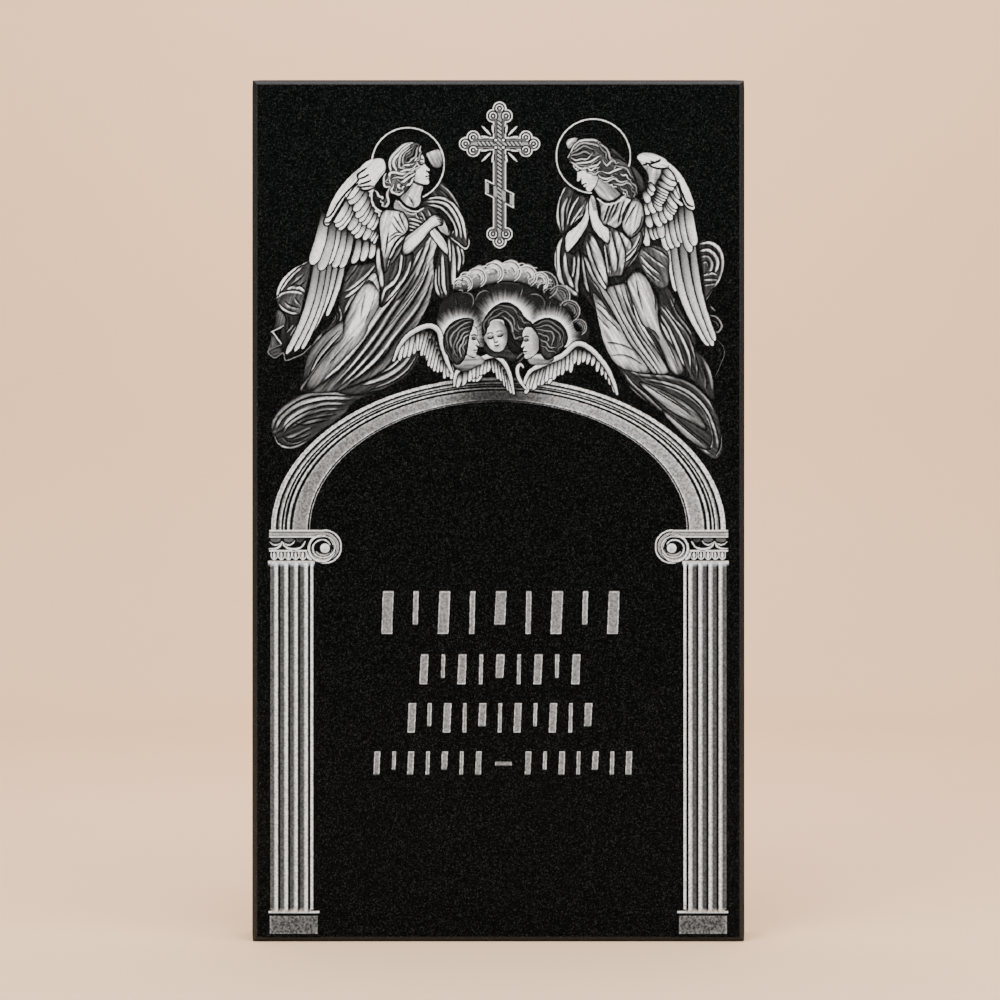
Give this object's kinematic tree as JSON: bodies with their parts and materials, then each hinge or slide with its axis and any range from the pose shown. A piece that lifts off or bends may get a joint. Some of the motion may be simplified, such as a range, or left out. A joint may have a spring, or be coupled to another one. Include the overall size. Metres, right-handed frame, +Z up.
{
  "type": "engraved headstone",
  "caption": "Upright black granite headstone with an engraved arch on columns, kneeling angels, a cross and child heads.",
  "frame": {"origin": "middle of the underside", "axes": "+Z up along the height, +X to the viewer's right along the width, engraved face towards -Y"},
  "size_m": [0.6, 0.08, 1.05],
  "materials": {
    "polished_granite": "polished",
    "engraved_granite": "frosted"
  },
  "bodies": {
    "root": {"stele": "polished_granite"}
  },
  "joints": []
}
